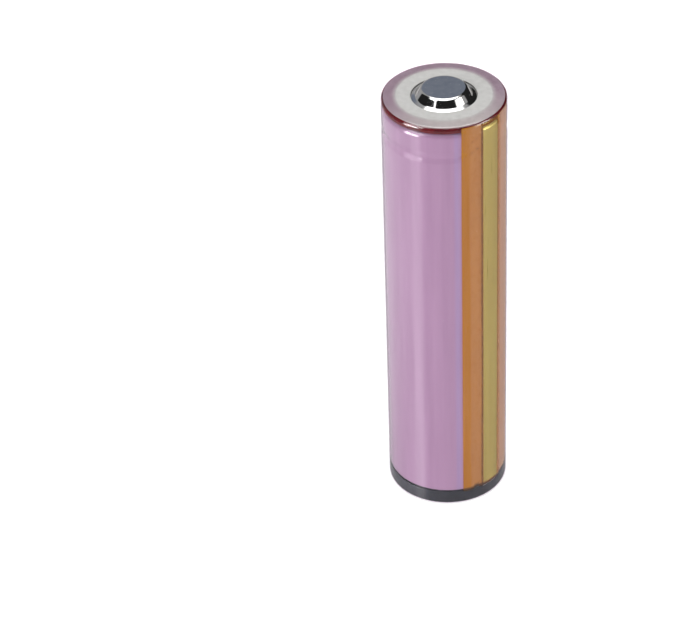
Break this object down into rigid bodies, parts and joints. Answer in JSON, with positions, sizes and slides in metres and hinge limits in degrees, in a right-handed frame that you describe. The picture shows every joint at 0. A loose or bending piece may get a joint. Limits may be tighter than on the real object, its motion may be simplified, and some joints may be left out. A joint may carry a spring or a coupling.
{
  "type": "cylindrical battery cell",
  "caption": "Round rechargeable cell in pink and clear sleeves, with a raised metal button, a side strip under amber tape and a dark ring round the board at its base.",
  "frame": {"origin": "middle of the negative contact's face, which the cell stands on", "axes": "+Z along the cell's axis towards the positive button; +X and +Y are across it, with the side strip at 43.7 degrees from +X towards -Y"},
  "size_m": [0.0184, 0.0184, 0.0705],
  "materials": {
    "clear_film": "clear shrink film, faintly violet, glossy",
    "pink_film": "opaque pink shrink film, satin",
    "white_card": "white coated insulation card",
    "red_fibre": "red-brown vulcanised fibre",
    "nickel_plate": "bright nickel-plated steel",
    "nickel_strip": "rolled nickel strip, satin",
    "amber_film": "amber polyimide tape",
    "dark_plastic": "dark grey moulded plastic",
    "board_laminate": "green glass-epoxy board",
    "chip_black": "black moulding compound with tinned leads",
    "ceramic_tan": "tan ceramic chip with tinned ends",
    "solder": "bright solder",
    "grey_fibre": "grey fish-paper insulation",
    "can_steel": "nickel-plated drawn steel",
    "gasket_plastic": "natural polypropylene",
    "fuse_polymer": "carbon-filled polymer between nickel faces",
    "aluminium_sheet": "soft aluminium sheet",
    "separator_film": "porous white polyolefin film",
    "graphite": "graphite coating on copper foil",
    "cathode_oxide": "metal-oxide coating on aluminium foil",
    "green_tape": "green polyester tape"
  },
  "bodies": {
    "root": {"clear_outer_sleeve": "clear_film", "pink_inner_sleeve": "pink_film", "top_white_washer": "white_card", "red_fibre_ring": "red_fibre", "positive_button": "nickel_plate", "positive_strip": "nickel_strip", "strip_under_tape": "amber_film", "strip_cover_tape": "amber_film", "board_housing_ring": "dark_plastic", "protection_board": "board_laminate", "negative_contact_plate": "nickel_plate", "switch_transistors": "chip_black", "protection_chip": "chip_black", "chip_resistors": "chip_black", "chip_capacitors": "ceramic_tan", "solder_pads": "solder", "board_tab": "nickel_strip", "board_insulator": "grey_fibre", "steel_can": "can_steel", "cap_gasket": "gasket_plastic", "factory_washer": "white_card", "bare_cell_cap": "can_steel", "fuse_ring": "fuse_polymer", "vent_disc": "aluminium_sheet", "vent_insulator": "gasket_plastic", "break_plate": "aluminium_sheet", "positive_tab": "aluminium_sheet", "upper_insulator": "grey_fibre", "inner_separator": "separator_film", "anode_sheet": "graphite", "outer_separator": "separator_film", "cathode_sheet": "cathode_oxide", "roll_tape": "green_tape", "centre_pin": "can_steel", "lower_insulator": "grey_fibre", "negative_tab": "nickel_strip"}
  },
  "joints": []
}
